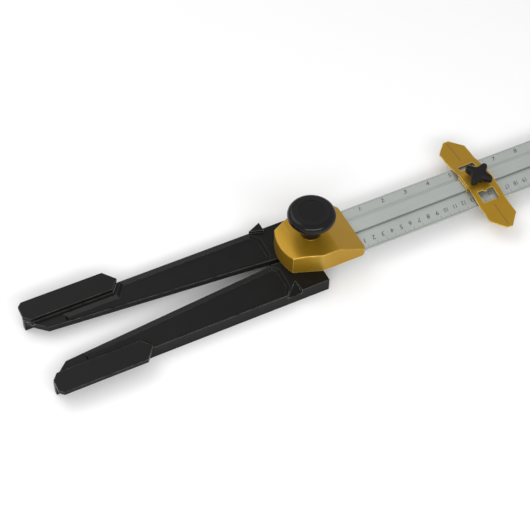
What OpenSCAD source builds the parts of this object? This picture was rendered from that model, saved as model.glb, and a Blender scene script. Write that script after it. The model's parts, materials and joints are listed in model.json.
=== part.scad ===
// Folding marking square: two plastic fence legs swing on one pivot under a gold holder,
// which carries a graduated aluminium rule with a sliding cursor.
// Origin: pivot axis, at the plane of the rule's underside (the face that lies on the board).
// +X runs along the rule, +Y to its inch edge, +Z up. Sizes are in millimetres.

/* [Rule] */
// Width of the rule
rule_w = 52.8; // [50:0.2:56]
// Thickness of the two scale flanges
rule_t = 2; // [1.5:0.1:2.2]
// Distance from the pivot axis to the free end of the rule
rule_end = 352; // [340:1:400]
// Lower edge of the raised rail across the rule
rail_y0 = -4.5; // [-5:0.1:-4]
// Upper edge of the raised rail across the rule
rail_y1 = 9; // [8.5:0.1:9.5]
// Height of the raised rail above the underside
rail_h = 5; // [4.8:0.1:5]

/* [Legs] */
// Distance from the pivot axis to the fence face, also the zero of the scales
fence_y = 41.5; // [41:0.1:42]
// Length of a leg from the pivot axis to its tip
leg_len = 274; // [270:1:280]
// Depth of the fence below the board plane
fence_drop = 15; // [14:0.5:16]
// Thickness of the fence flange
fence_t = 4.8; // [4:0.1:5]
// Thickness of the leg's top web at its rim
web_t = 6.5; // [6.5:0.1:6.8]
// Depth of the recessed panel in the leg's top
panel_depth = 3; // [2:0.1:3.2]
// Thickness of the wing plate that rests on the board
wing_t = 4.5; // [3.5:0.1:5]
// Largest reach of the wing from the pivot line
wing_y = 54.6; // [52:0.1:56]

/* [Holder] */
// Half width of the holder along the rule
holder_y = 30; // [29.5:0.1:31]
// Height of the holder's flat top
holder_h = 22.5; // [22:0.1:23.5]
// End of the holder on the rule's side
holder_x1 = 45; // [44:0.5:48]
// End of the holder on the legs' side
holder_x0 = -32.5; // [-33:0.1:-32]
// Wall thickness of the holder
holder_wall = 2.5; // [2.2:0.1:2.6]

/* [Knobs] */
// Radius of the clamp knob's rim
knob_r = 22.8; // [20:0.1:24]
// Height of the middle of the clamp knob's rim
knob_z = 48.5; // [47:0.5:50]
// Radius of the clamp knob's stem at its foot
stem_r = 10; // [9.5:0.1:10.5]
// Radius of the clamp knob's stem under its head
neck_r = 12.6; // [11:0.1:14]
// Radius of the star knob to its lobe tips
star_r = 15; // [14:0.1:15.5]

/* [Cursor] */
// Place of the cursor's middle along the rule
cursor_x = 186; // [120:1:300]
// Width of the cursor strip
strip_w = 29.5; // [28:0.5:30]
// Thickness of the cursor strip
strip_t = 1.2; // [1:0.1:1.4]
// Half length of the cursor strip
strip_y = 61.3; // [58:0.1:64]

/* [Hidden] */
$fn = 96;
eps = 0.01;

gold = [0.72, 0.55, 0.14];
black = [0.12, 0.12, 0.12];
steel = [0.66, 0.67, 0.70];
brass = [0.80, 0.66, 0.30];
silver = [0.78, 0.80, 0.79];
nylon = [0.88, 0.87, 0.82];

// Pivot stack, from the bolt head up to the knob
bolt_r = 4;
thread_r = 3.9;
bolt_clear = 0.1;
sleeve_r = 6;
bush_r = 8;
run_fit = 0.05;
lug_r = 14;
lug_gap = 0.8;
lug_t = 2.9;
washer_t = 0.45;
leg_top = -0.5;
upper_lug_z = leg_top - 0.05 - lug_t;
lap_z = upper_lug_z - 0.05 - washer_t;
lower_lug_z = lap_z - 0.05 - lug_t;
head_washer_t = 1;
head_washer_z = lower_lug_z - 0.05 - head_washer_t;
head_h = 3.5;
head_r = 8;
socket_r = 2.9;
socket_depth = 2.2;
head_washer_r = 10;
lap_washer_r = 12;
boss_round_r = 11;
bolt_top = 41;

// Base plate and its screws, from below
plate_t = 1.2;
plate_x1 = 11.5;
cavity_gap = 0.3;
plate_screws = [[-23, 12], [-23, -12], [5, 21], [5, -21]];
rule_x0 = 14;
rule_screw_points = [[28, -17], [28, 19]];
screw_r = 1.5;
screw_head_r = 2.8;
screw_head_t = 1;
screw_len = 9;
boss_r = 4;

// Rule section
rail_neck = 2;
rail_lip = 1.9;
rail_mid = (rail_y0 + rail_y1) / 2;
ridge_h = 0.5;
ridge_w = 6;
slot_gap = 0.3;

// Holder outline
arc_r = 46;
arc_y = 20;
facet_x = -17.5;
facet_drop = 3.2;
slope_x = 15.5;
slope_drop = 14.5;
corner_r = 5;

// Leg outline
hub_gap = 0.3;
inner_y = 1.5;
inner_x = 25;
plate_end = [256, 20.5];
recess_edge = 2;

// Clamp knob
rim_r = 5.6;
neck_drop = 2;
crown_rise = 0.4;
washer_r = 9;
spring_t = 0.9;
knob_washer_t = 0.6;
stem_z = holder_h + spring_t + knob_washer_t + 0.05;
insert_r = 6;
insert_top = 45;

// Cursor
runner_t = 1.2;
runner_half = 16;
runner_roof = rail_h + 1;
runner_gap = 0.2;
strip_z = runner_roof + runner_t;
near_fold_y = 8;
far_fold_y = 10.6;
tip_fold_y = 29.5;
tip_fold_z = 2.3;
tip_z = 0.8;
shoulder_y = 48.5;
apex_half = 3;
window_half = 8.7;
near_window = [-26, -13.5];
far_window = [17, 23.5];
pointer_r = 2;
stud_r = 2.5;
bush_neck_r = 3.6;
bush_flange_r = 5.5;
bush_flange_t = 1;
pad_r = 4;
pad_t = 0.8;
spring_w = 9;
spring_thick = 0.3;
star_z = strip_z + strip_t + bush_flange_t + 0.1;
star_hub_h = 2.5;
star_hub_r = 6.5;
stud_in = 7;
star_t = 6.5;
star_waist_r = 7.5;
star_lobe_r = 3.2;
star_turn = 32;

// ---- shared shapes ----

// A ring standing on z
module ring(outer_r, inner_r, z, h) {
    translate([0, 0, z]) difference() {
        cylinder(r = outer_r, h = h);
        translate([0, 0, -1]) cylinder(r = inner_r, h = h + 2);
    }
}

// A countersunk screw whose head is flush with z = 0 and whose shank points up
module flush_screw(len) {
    rotate_extrude() polygon([[0, 0], [screw_head_r, 0], [screw_head_r, 0.2],
        [screw_r, screw_head_t + 0.2], [screw_r, len], [0, len]]);
}

// The hole that a flush screw sits in, cut through a plate
module flush_hole(depth) {
    translate([0, 0, -eps]) rotate_extrude() polygon([[0, 0], [screw_head_r + 0.1, 0],
        [screw_head_r + 0.1, 0.3], [screw_r + 0.1, screw_head_t + 0.4],
        [screw_r + 0.1, depth + 1], [0, depth + 1]]);
}

// Holder plan, drawn in from its outline by an inset
module holder_plan(inset) {
    x1 = holder_x1 - inset;
    y1 = holder_y - inset;
    r = max(corner_r - inset, 1);
    intersection() {
        union() {
            polygon([[-40, arc_y - 3.6 - inset], [-27.9, arc_y - inset], [-1, y1], [x1 - r, y1],
                [x1 - r, -y1], [-1, -y1], [-27.9, -arc_y + inset], [-40, -arc_y + 3.6 + inset]]);
            translate([x1 - r - 1, -y1 + r]) square([r + 1, 2 * (y1 - r)]);
            for (side = [-1, 1]) translate([x1 - r, side * (y1 - r)]) circle(r);
        }
        union() {
            translate([holder_x0 + arc_r, 0]) circle(arc_r - inset, $fn = 160);
            translate([0, -40]) square([80, 80]);
        }
    }
}

// Holder side profile, with its top lowered by a drop: front facet, flat top, slope to the rule
module holder_profile(drop, floor_z) {
    past = 12;
    facet_fall = facet_drop * (facet_x - holder_x0 + past) / (facet_x - holder_x0);
    slope_fall = slope_drop * (holder_x1 - slope_x + past) / (holder_x1 - slope_x);
    translate([0, 50, 0]) rotate([90, 0, 0]) linear_extrude(100)
        polygon([[holder_x0 - past, floor_z], [holder_x1 + past, floor_z],
            [holder_x1 + past, holder_h - slope_fall - drop], [slope_x, holder_h - drop],
            [facet_x, holder_h - drop], [holder_x0 - past, holder_h - facet_fall - drop]]);
}

// The space that the rule needs where it passes through the holder's end wall
module rule_slot() {
    translate([rule_x0 - 1, -rule_w / 2 - slot_gap, -1])
        cube([60, rule_w + 2 * slot_gap, 1 + rule_t + slot_gap]);
    translate([rule_x0 - 1, rail_y0 - slot_gap, -1])
        cube([60, rail_y1 - rail_y0 + 2 * slot_gap, 1 + rail_h + slot_gap]);
    translate([rule_x0 - 1, rail_y1 - 1, -1])
        cube([60, ridge_w + 1 + slot_gap, 1 + rule_t + ridge_h + slot_gap]);
}

// ---- holder ----

// The holder's outer block, before it is hollowed
module holder_block() intersection() {
    linear_extrude(40) holder_plan(0);
    holder_profile(0, 0);
}

module holder_cover() color(gold) difference() {
    union() {
        difference() {
            holder_block();
            intersection() {
                translate([0, 0, -1]) linear_extrude(40) holder_plan(holder_wall);
                holder_profile(holder_wall, -1);
            }
        }
        intersection() {
            holder_block();
            union() {
                translate([0, 0, plate_t]) cylinder(r = boss_round_r, h = 30);
                for (p = plate_screws) translate([p[0], p[1], plate_t]) cylinder(r = boss_r, h = 30);
                for (p = rule_screw_points) translate([p[0], p[1], rule_t])
                    cylinder(r = boss_r, h = 30);
            }
        }
    }
    translate([0, 0, -1]) cylinder(r = bolt_r + bolt_clear, h = 40);
    for (p = plate_screws) translate([p[0], p[1], -1]) cylinder(r = screw_r + run_fit, h = 12);
    for (p = rule_screw_points) translate([p[0], p[1], -1])
        cylinder(r = screw_r + run_fit, h = 13);
    rule_slot();
}

module base_plate() color(steel) difference() {
    linear_extrude(plate_t) intersection() {
        holder_plan(holder_wall + cavity_gap);
        translate([-60, -40]) square([60 + plate_x1, 80]);
    }
    translate([0, 0, -1]) cylinder(r = bolt_r + bolt_clear, h = 4);
    for (p = plate_screws) translate([p[0], p[1], 0]) flush_hole(plate_t);
}

module base_screws() color(steel)
    for (p = plate_screws) translate([p[0], p[1], 0]) flush_screw(screw_len);

module rule() color(silver) difference() {
    translate([rule_x0, 0, 0]) rotate([90, 0, 90]) linear_extrude(rule_end - rule_x0)
        polygon([[-rule_w / 2, 0], [rule_w / 2, 0], [rule_w / 2, rule_t],
            [rail_y1 + ridge_w, rule_t], [rail_y1 + ridge_w, rule_t + ridge_h],
            [rail_y1 + ridge_w - 1, rule_t + ridge_h], [rail_y1 + ridge_w - 1.5, rule_t],
            [rail_y1 - rail_neck, rule_t], [rail_y1 - rail_neck, rail_h - rail_lip],
            [rail_y1, rail_h - rail_lip], [rail_y1, rail_h], [rail_y0, rail_h],
            [rail_y0, rail_h - rail_lip], [rail_y0 + rail_neck, rail_h - rail_lip],
            [rail_y0 + rail_neck, rule_t], [-rule_w / 2, rule_t]]);
    for (p = rule_screw_points) translate([p[0], p[1], 0]) flush_hole(rail_h);
}

module rule_screws() color(steel)
    for (p = rule_screw_points) translate([p[0], p[1], 0]) flush_screw(screw_len + 1);

// ---- pivot ----

module pivot_bolt() color(steel) difference() {
    union() {
        translate([0, 0, head_washer_z - head_h]) cylinder(r = head_r, h = head_h);
        translate([0, 0, head_washer_z - 1]) cylinder(r = bolt_r, h = 1 - head_washer_z + holder_h - 2);
        translate([0, 0, head_washer_z - 1]) cylinder(r = thread_r, h = 1 - head_washer_z + bolt_top);
    }
    translate([0, 0, head_washer_z - head_h - 1]) cylinder(r = socket_r, h = 1 + socket_depth, $fn = 6);
}

module pivot_sleeve() color(steel)
    ring(sleeve_r, bolt_r + run_fit, head_washer_z + head_washer_t, -head_washer_z - head_washer_t);
module head_washer() color(steel) ring(head_washer_r, bolt_r + run_fit, head_washer_z, head_washer_t);
module lap_washer() color(nylon) ring(lap_washer_r, sleeve_r + run_fit, lap_z, washer_t);
module top_washer() color(nylon) ring(lap_washer_r, sleeve_r + run_fit, -washer_t, washer_t);
module spring_washer() color(steel) ring(washer_r, bolt_r + bolt_clear, holder_h, spring_t);

// ---- clamp knob ----

module clamp_knob() color(black) difference() {
    rotate_extrude() union() {
        translate([knob_r - rim_r, knob_z]) circle(rim_r);
        polygon([[0, stem_z], [stem_r, stem_z], [neck_r, knob_z - rim_r - neck_drop],
            [knob_r - rim_r, knob_z - rim_r], [knob_r - rim_r, knob_z + rim_r],
            [0, knob_z + rim_r + crown_rise]]);
    }
    translate([0, 0, stem_z - 1]) cylinder(r = insert_r, h = insert_top - stem_z + 1);
}

module knob_insert() color(brass)
    ring(insert_r, thread_r + run_fit, stem_z, insert_top - stem_z);
module knob_washer() color(steel)
    ring(washer_r, bolt_r + bolt_clear, holder_h + spring_t, knob_washer_t);

// ---- legs: drawn with u towards the tip along -X and v outwards along +Y ----

// Inner edge line of a leg at a distance u from the pivot
function inner_edge(u) = inner_y + (u - inner_x) * (plate_end[1] - inner_y) / (plate_end[0] - inner_x);

module leg_plan() polygon([[-hub_gap, inner_y], [-inner_x, inner_y],
    [-plate_end[0], plate_end[1]], [-268, 31.5], [-leg_len, fence_y - fence_t],
    [-leg_len, fence_y], [-hub_gap, fence_y]]);

module panel_plan() polygon([[-43, inner_edge(43) + recess_edge], [-38.5, 9.5], [-38.5, 30.5],
    [-45, fence_y - recess_edge], [-178, fence_y - recess_edge], [-187, 28.5], [-235, 28.5],
    [-237, inner_edge(237) + recess_edge]]);

module wing_plan() polygon([[-180, 42.2], [-190, wing_y], [-270, wing_y], [-leg_len, 50.8],
    [-leg_len, 38.4], [-269, 32.6], [-188.3, 32.2]]);

// One leg, with its lug at a height in the lap joint and clear space above and below the lug
module leg(lug_z) difference() {
    union() {
        difference() {
            translate([0, 0, leg_top - web_t]) linear_extrude(web_t) leg_plan();
            translate([0, 0, leg_top - panel_depth]) linear_extrude(panel_depth + 1) panel_plan();
            translate([0, 0, lug_z - fence_drop]) cylinder(r = lug_r + lug_gap, h = fence_drop);
            translate([0, 0, lug_z + lug_t]) cylinder(r = lug_r + lug_gap, h = fence_drop);
        }
        translate([-leg_len, fence_y - fence_t, -fence_drop])
            cube([leg_len - hub_gap, fence_t, fence_drop + leg_top]);
        linear_extrude(wing_t) wing_plan();
        translate([0, 0, leg_top - 1]) linear_extrude(2) intersection() {
            wing_plan();
            leg_plan();
        }
        translate([0, 0, lug_z]) cylinder(r = lug_r, h = lug_t);
    }
    translate([0, 0, -fence_drop]) cylinder(r = bush_r, h = 2 * fence_drop);
}

module left_leg() color(black) leg(upper_lug_z);
module right_leg() color(black) mirror([0, 1, 0]) leg(lower_lug_z);
module left_bush() color(brass) ring(bush_r, sleeve_r + run_fit, upper_lug_z, lug_t);
module right_bush() color(brass) ring(bush_r, sleeve_r + run_fit, lower_lug_z, lug_t);

// ---- cursor ----

// Strip section across the rule: flat centre, two sloping window parts, two lowered tips
module strip_side() {
    under = [[-strip_y, tip_z], [-tip_fold_y, tip_fold_z], [-near_fold_y, strip_z],
        [far_fold_y, strip_z], [tip_fold_y, tip_fold_z], [strip_y, tip_z]];
    over = [for (i = [len(under) - 1:-1:0]) under[i] + [0, strip_t]];
    polygon(concat(under, over));
}

module cursor_strip() color(gold) translate([cursor_x, 0, 0]) difference() {
    intersection() {
        translate([-strip_w / 2, 0, 0]) rotate([90, 0, 90]) linear_extrude(strip_w)
            strip_side();
        translate([0, 0, -5]) linear_extrude(30)
            polygon([[-strip_w / 2, -shoulder_y], [-apex_half, -strip_y], [apex_half, -strip_y],
                [strip_w / 2, -shoulder_y], [strip_w / 2, shoulder_y], [apex_half, strip_y],
                [-apex_half, strip_y], [-strip_w / 2, shoulder_y]]);
    }
    translate([0, 0, -5]) linear_extrude(30) difference() {
        translate([-window_half, near_window[0]])
            square([2 * window_half, near_window[1] - near_window[0]]);
        translate([0, near_window[1]]) circle(pointer_r);
    }
    translate([-window_half, far_window[0], -5])
        cube([2 * window_half, far_window[1] - far_window[0], 30]);
    translate([0, 0, -5]) cylinder(r = bush_neck_r, h = 30);
}

module cursor_runner() color(gold) translate([cursor_x - runner_half, 0, 0]) difference() {
    y0 = rail_y0 - runner_gap;
    y1 = rail_y1 + runner_gap;
    claw_z = rule_t + runner_gap;
    claw_t = rail_h - rail_lip - runner_gap - claw_z;
    claw_w = rail_neck - runner_gap;
    rotate([90, 0, 90]) linear_extrude(2 * runner_half) union() {
        translate([y0 - runner_t, runner_roof]) square([y1 - y0 + 2 * runner_t, runner_t]);
        translate([y0 - runner_t, claw_z]) square([runner_t, runner_roof - claw_z + 0.1]);
        translate([y1, claw_z]) square([runner_t, runner_roof - claw_z + 0.1]);
        translate([y0 - 0.1, claw_z]) square([claw_w, claw_t]);
        translate([y1 - claw_w + 0.1, claw_z]) square([claw_w, claw_t]);
    }
    translate([runner_half, 0, 0]) cylinder(r = bush_neck_r, h = 20);
}

module cursor_bush() color(brass) translate([cursor_x, 0, 0]) {
    ring(bush_neck_r, stud_r + run_fit, runner_roof, runner_t + strip_t);
    ring(bush_flange_r, stud_r + run_fit, strip_z + strip_t, bush_flange_t);
}

module cursor_spring() color(steel) translate([cursor_x, rail_mid, 0]) difference() {
    bow_r = 220;
    bow_half = 14;
    top = runner_roof - 0.02;
    intersection() {
        translate([0, spring_w / 2, top - bow_r]) rotate([90, 0, 0]) difference() {
            cylinder(r = bow_r, h = spring_w, $fn = 360);
            translate([0, 0, -1]) cylinder(r = bow_r - spring_thick, h = spring_w + 2, $fn = 360);
        }
        translate([-bow_half, -spring_w, 0]) cube([2 * bow_half, 2 * spring_w, 20]);
    }
    translate([0, -rail_mid, 0]) cylinder(r = pad_r + 0.3, h = 20);
}

module pressure_pad() color(nylon) translate([cursor_x, 0, rail_h + 0.05]) cylinder(r = pad_r, h = pad_t);

// Four round lobes joined by hollow arcs that run smoothly into them
module star_plan() {
    lobe_x = star_r - star_lobe_r;
    arc_x = (lobe_x * lobe_x - pow(star_lobe_r - star_waist_r, 2))
        / (2 * (lobe_x * cos(45) + star_lobe_r - star_waist_r));
    arc_in = arc_x - star_waist_r;
    away = atan2(arc_x * sin(45), arc_x * cos(45) - lobe_x);
    touch = [lobe_x + star_lobe_r * cos(away), star_lobe_r * sin(away)];
    for (turn = [0:90:270]) rotate(star_turn + turn) translate([lobe_x, 0]) circle(star_lobe_r);
    rotate(star_turn) difference() {
        polygon([for (turn = [0:90:270]) for (side = [-1, 1])
            [touch[0] * cos(turn) - side * touch[1] * sin(turn),
             touch[0] * sin(turn) + side * touch[1] * cos(turn)]]);
        for (turn = [45:90:315]) rotate(turn) translate([arc_x, 0]) circle(arc_in);
    }
}

module star_knob() color(black) translate([cursor_x, 0, star_z]) difference() {
    union() {
        cylinder(r = star_hub_r, h = star_hub_h + 1);
        translate([0, 0, star_hub_h]) linear_extrude(star_t) star_plan();
    }
    translate([0, 0, -1]) cylinder(r = stud_r, h = 1 + stud_in);
}

module star_stud() color(steel) {
    foot_z = rail_h + 0.05 + pad_t + 0.02;
    translate([cursor_x, 0, foot_z]) cylinder(r = stud_r, h = star_z + stud_in - foot_z);
}

holder_cover();
base_plate();
base_screws();
rule();
rule_screws();
pivot_bolt();
pivot_sleeve();
head_washer();
lap_washer();
top_washer();
spring_washer();
clamp_knob();
knob_insert();
knob_washer();
left_leg();
left_bush();
right_leg();
right_bush();
cursor_strip();
cursor_runner();
cursor_bush();
cursor_spring();
pressure_pad();
star_knob();
star_stud();
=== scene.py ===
# %% [markdown]
# # A folding marking square
# Two black plastic fence legs swing on one bolt under a gold holder. The holder carries a
# graduated aluminium rule, and a gold cursor with a star knob slides along that rule.
# Every length below is written in millimetres and turned into metres by MM, because Blender
# counts in metres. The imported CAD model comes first: it says where every piece belongs.

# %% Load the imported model
import json
import math
import bpy
import bmesh
from mathutils import Matrix, Vector


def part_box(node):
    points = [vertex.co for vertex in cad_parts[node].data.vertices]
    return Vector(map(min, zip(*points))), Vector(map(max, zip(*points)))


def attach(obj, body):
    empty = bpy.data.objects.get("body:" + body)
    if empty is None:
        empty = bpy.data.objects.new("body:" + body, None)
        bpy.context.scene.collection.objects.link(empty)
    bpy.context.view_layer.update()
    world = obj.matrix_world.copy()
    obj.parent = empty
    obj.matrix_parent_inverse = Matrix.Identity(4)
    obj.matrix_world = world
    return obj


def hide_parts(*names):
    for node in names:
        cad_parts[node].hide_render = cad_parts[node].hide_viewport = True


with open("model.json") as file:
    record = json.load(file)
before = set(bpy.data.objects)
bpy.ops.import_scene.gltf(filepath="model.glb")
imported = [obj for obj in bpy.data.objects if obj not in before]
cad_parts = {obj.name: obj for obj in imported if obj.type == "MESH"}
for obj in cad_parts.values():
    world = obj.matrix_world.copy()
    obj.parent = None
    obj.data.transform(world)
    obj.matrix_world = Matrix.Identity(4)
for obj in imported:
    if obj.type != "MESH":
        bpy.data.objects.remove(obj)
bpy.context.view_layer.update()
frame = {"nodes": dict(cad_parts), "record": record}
MM = 0.001

# %% [markdown]
# ## Measures taken from the frame
# The larger pieces start from the boxes of their CAD nodes, so that they land in place. Finer
# sizes are stated where they are used. The pivot axis is the origin. The board's top is z = 0:
# the wings rest on it, and the fences hang below it.

# %% Read the main boxes
def box_mm(node):
    """Lowest and highest corner of a CAD node, in millimetres."""
    low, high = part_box(node)
    return low / MM, high / MM


HOLDER_LOW, HOLDER_HIGH = box_mm("holder_cover")
RULE_LOW, RULE_HIGH = box_mm("rule")
LEG_LOW, LEG_HIGH = box_mm("left_leg")
KNOB_LOW, KNOB_HIGH = box_mm("clamp_knob")
STRIP_LOW, STRIP_HIGH = box_mm("cursor_strip")
STAR_LOW, STAR_HIGH = box_mm("star_knob")
FLOOR = LEG_LOW.z
CURSOR_X = (STRIP_LOW.x + STRIP_HIGH.x) / 2
print("holder", HOLDER_LOW, HOLDER_HIGH, "floor at", FLOOR, "cursor at", CURSOR_X)

# %% [markdown]
# ## Camera
# A long lens from above and to the left flattens the perspective, as in a catalogue picture of
# a long thin tool. The camera is first placed by its direction, then rolled a little.
# A small shift moves the picture without turning the camera, so upright edges stay as they are.

# %% Place the camera
VIEW_TURN = math.radians(62.08)
VIEW_TILT = math.radians(51.86)
VIEW_ROLL = math.radians(1.73)
AIM = Vector((-45.15, -12.58, 0)) * MM
CAMERA_DISTANCE = 1.3808
LENS = 100.2
SHIFT = (-0.015, 0.0163)

look = Vector((
    math.cos(VIEW_TILT) * math.cos(VIEW_TURN),
    math.cos(VIEW_TILT) * math.sin(VIEW_TURN),
    -math.sin(VIEW_TILT),
))
bpy.ops.object.select_all(action="DESELECT")
bpy.ops.object.camera_add(location=AIM - look * CAMERA_DISTANCE)
camera = bpy.context.object
upright = look.to_track_quat("-Z", "Y").to_matrix()
camera.rotation_euler = (upright @ Matrix.Rotation(VIEW_ROLL, 3, "Z")).to_euler()
camera.data.lens = LENS
camera.data.sensor_width = 36
camera.data.shift_x, camera.data.shift_y = SHIFT
camera.data.clip_end = 20
bpy.context.scene.camera = camera
print("camera at", camera.location)

# %% [markdown]
# ## Floor and light
# A pale matte floor and a pale sky keep the shadows soft. A long strip lamp low in front draws
# the bright lines along rounded edges. A large box high behind is what the level gold and
# aluminium faces mirror, so they stay brighter than the walls below them.

# %% Lay the floor and hang the lamps
FLOOR_CLEARANCE = 0.05
SKY_STRENGTH = 0.68


def plain_surface(name, colour, rough):
    """A simple material for the floor, which is not part of the tool."""
    material = bpy.data.materials.new(name)
    material.use_nodes = True
    shader = material.node_tree.nodes["Principled BSDF"]
    shader.inputs["Base Color"].default_value = (*colour, 1)
    shader.inputs["Roughness"].default_value = rough
    return material


def hang_lamp(name, place, target, wide, tall, power):
    """A soft box at place, turned to face target."""
    bpy.ops.object.select_all(action="DESELECT")
    bpy.ops.object.light_add(type="AREA", location=place)
    lamp = bpy.context.object
    lamp.name = name
    lamp.data.shape = "RECTANGLE"
    lamp.data.size = wide
    lamp.data.size_y = tall
    lamp.data.energy = power
    lamp.rotation_euler = (Vector(target) - Vector(place)).to_track_quat("-Z", "Y").to_euler()


bpy.ops.object.select_all(action="DESELECT")
bpy.ops.mesh.primitive_plane_add(size=8, location=(0, 0, (FLOOR - FLOOR_CLEARANCE) * MM))
floor = bpy.context.object
floor.name = "studio_floor"
floor.data.materials.append(plain_surface("floor_paper", (0.93, 0.93, 0.93), 0.9))

sky = bpy.data.worlds.new("studio_sky")
sky.use_nodes = True
sky.node_tree.nodes["Background"].inputs["Color"].default_value = (1, 1, 1, 1)
sky.node_tree.nodes["Background"].inputs["Strength"].default_value = SKY_STRENGTH
bpy.context.scene.world = sky
bpy.context.scene.view_settings.view_transform = "Standard"

hang_lamp("front_strip", (-0.3, -1.0, 0.75), (0, 0, 0), 1.6, 0.35, 11)
hang_lamp("back_box", (-0.45, 0.8, 1.25), (0, 0, 0), 1.3, 1.0, 6)

# %% [markdown]
# ## Shared surface effects
# Two effects come back in every finish: a lighter edge colour, which is wear on some finishes
# and a painted highlight on the gold and the legs, and a cloudy tone with a fine grain. A third,
# drawn lines, is for the aluminium only. Each is a node group made once.
# A group only hands out masks and heights. The shader itself stays in each material.

# %% Helpers that build node groups
def new_group(name, inputs, outputs):
    """An empty shader group with named number sockets; inputs maps a name to its value."""
    group = bpy.data.node_groups.new(name, "ShaderNodeTree")
    for socket, value in inputs.items():
        item = group.interface.new_socket(socket, in_out="INPUT", socket_type="NodeSocketFloat")
        item.default_value = value
    for socket in outputs:
        group.interface.new_socket(socket, in_out="OUTPUT", socket_type="NodeSocketFloat")
    start = group.nodes.new("NodeGroupInput")
    end = group.nodes.new("NodeGroupOutput")
    return group, start, end


def add_math(tree, operation, first, second):
    """A Math node; first and second are sockets or plain numbers."""
    node = tree.nodes.new("ShaderNodeMath")
    node.operation = operation
    for place, value in enumerate((first, second)):
        if hasattr(value, "links"):
            tree.links.new(value, node.inputs[place])
        else:
            node.inputs[place].default_value = value
    return node.outputs[0]


def add_noise(tree, coordinates, scale, detail, rough=0.5):
    """Smooth noise read at the given coordinates; scale may be a socket."""
    node = tree.nodes.new("ShaderNodeTexNoise")
    node.inputs["Detail"].default_value = detail
    node.inputs["Roughness"].default_value = rough
    tree.links.new(coordinates, node.inputs["Vector"])
    if hasattr(scale, "links"):
        tree.links.new(scale, node.inputs["Scale"])
    else:
        node.inputs["Scale"].default_value = scale
    return node.outputs["Fac"]


def add_range(tree, value, low, high, new_low=0.0, new_high=1.0):
    """Stretch the span low..high of value to new_low..new_high, clamped."""
    node = tree.nodes.new("ShaderNodeMapRange")
    node.inputs["From Min"].default_value = low
    node.inputs["From Max"].default_value = high
    node.inputs["To Min"].default_value = new_low
    node.inputs["To Max"].default_value = new_high
    tree.links.new(value, node.inputs["Value"])
    return node.outputs["Result"]


# %% [markdown]
# Handling wears a finish first along its edges, and on the gold and the legs the same edge colour
# is a painted highlight, for the bright lines that light draws along their rounded edges. The colour
# could be painted on, but a mask worked out from the surface itself follows every edge of every
# piece. The Bevel node gives the normal of a rounded copy of the surface, and noise breaks the mask
# into patches.

# %% Worn edges and painted edge highlights
def make_rubbed_edges():
    """Mask: 1 on edges, broken up by noise, 0 on flats, for worn edges and for painted edge
    highlights. Close to an edge the normal of a rounded copy of the surface turns away from the
    real one, and that turn is the mask."""
    group, start, end = new_group(
        "edge_wear_and_painted_highlight", {"Amount": 0.5, "Patch Scale": 120, "Reach": 0.0005}, ["Mask"])
    geometry = group.nodes.new("ShaderNodeNewGeometry")
    place = group.nodes.new("ShaderNodeTexCoord").outputs["Object"]
    rounded = group.nodes.new("ShaderNodeBevel")
    rounded.samples = 6
    group.links.new(start.outputs["Reach"], rounded.inputs["Radius"])
    turn = group.nodes.new("ShaderNodeVectorMath")
    turn.operation = "DOT_PRODUCT"
    group.links.new(rounded.outputs["Normal"], turn.inputs[0])
    group.links.new(geometry.outputs["True Normal"], turn.inputs[1])
    edge = add_range(group, turn.outputs["Value"], 0.995, 0.90)
    patches = add_range(group, add_noise(group, place, start.outputs["Patch Scale"], 3), 0.3, 0.5)
    broken = add_math(group, "MULTIPLY", edge, patches)
    mask = add_math(group, "MULTIPLY", broken, start.outputs["Amount"])
    group.links.new(mask, end.inputs["Mask"])
    return group


# %% [markdown]
# No real surface has one even tone. Slow noise gives broad clouds for colour and roughness, and
# fast noise gives a grain for the bump. Both are read at object coordinates, so that no piece
# has to be unwrapped.

# %% Cloudy tone and fine grain
def make_cloudy_grain():
    """Tone: slow cloudy variation around 0.5. Grain: fine height for a bump."""
    group, start, end = new_group(
        "cloudy_grain", {"Cloud Scale": 25, "Grain Scale": 1800}, ["Tone", "Grain"])
    place = group.nodes.new("ShaderNodeTexCoord").outputs["Object"]
    cloud = add_noise(group, place, start.outputs["Cloud Scale"], 5, 0.6)
    grain = add_noise(group, place, start.outputs["Grain Scale"], 2)
    group.links.new(add_range(group, cloud, 0.3, 0.7), end.inputs["Tone"])
    group.links.new(grain, end.inputs["Grain"])
    return group


# %% [markdown]
# An extruded bar keeps fine lines along its length from the die. They could be cut as grooves,
# but noise stretched far along X gives them without a single extra face.

# %% Drawn lines
LINE_STRETCH = 0.012


def make_drawn_lines():
    """Fine lines along X, as an extruded bar has: Tone for colour, Height for a bump."""
    group, start, end = new_group("drawn_lines", {"Line Scale": 900}, ["Tone", "Height"])
    coordinates = group.nodes.new("ShaderNodeTexCoord")
    stretch = group.nodes.new("ShaderNodeMapping")
    stretch.inputs["Scale"].default_value = (LINE_STRETCH, 1, 1)
    group.links.new(coordinates.outputs["Object"], stretch.inputs["Vector"])
    lines = add_noise(group, stretch.outputs["Vector"], start.outputs["Line Scale"], 3, 0.65)
    group.links.new(add_range(group, lines, 0.3, 0.7), end.inputs["Tone"])
    group.links.new(lines, end.inputs["Height"])
    return group


WORN_AND_HIGHLIGHT_EDGES = make_rubbed_edges()
CLOUDY = make_cloudy_grain()
DRAWN = make_drawn_lines()
print("groups", [group.name for group in (WORN_AND_HIGHLIGHT_EDGES, CLOUDY, DRAWN)])

# %% [markdown]
# ## Finishes
# One function mixes every finish from the same recipe: a base colour that drifts between two
# tones, a lighter or barer colour on the edges, which is wear on some finishes and a painted
# highlight on others, roughness that follows the same drift, and a grain fed through a Bump node.
# Each material then only states its own values, which keeps the finishes of one tool in one family.

# %% The recipe
def place_group(tree, group, **values):
    """Put a node group in a material and set its inputs."""
    node = tree.nodes.new("ShaderNodeGroup")
    node.node_tree = group
    for name, value in values.items():
        node.inputs[name.replace("_", " ")].default_value = value
    return node


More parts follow.
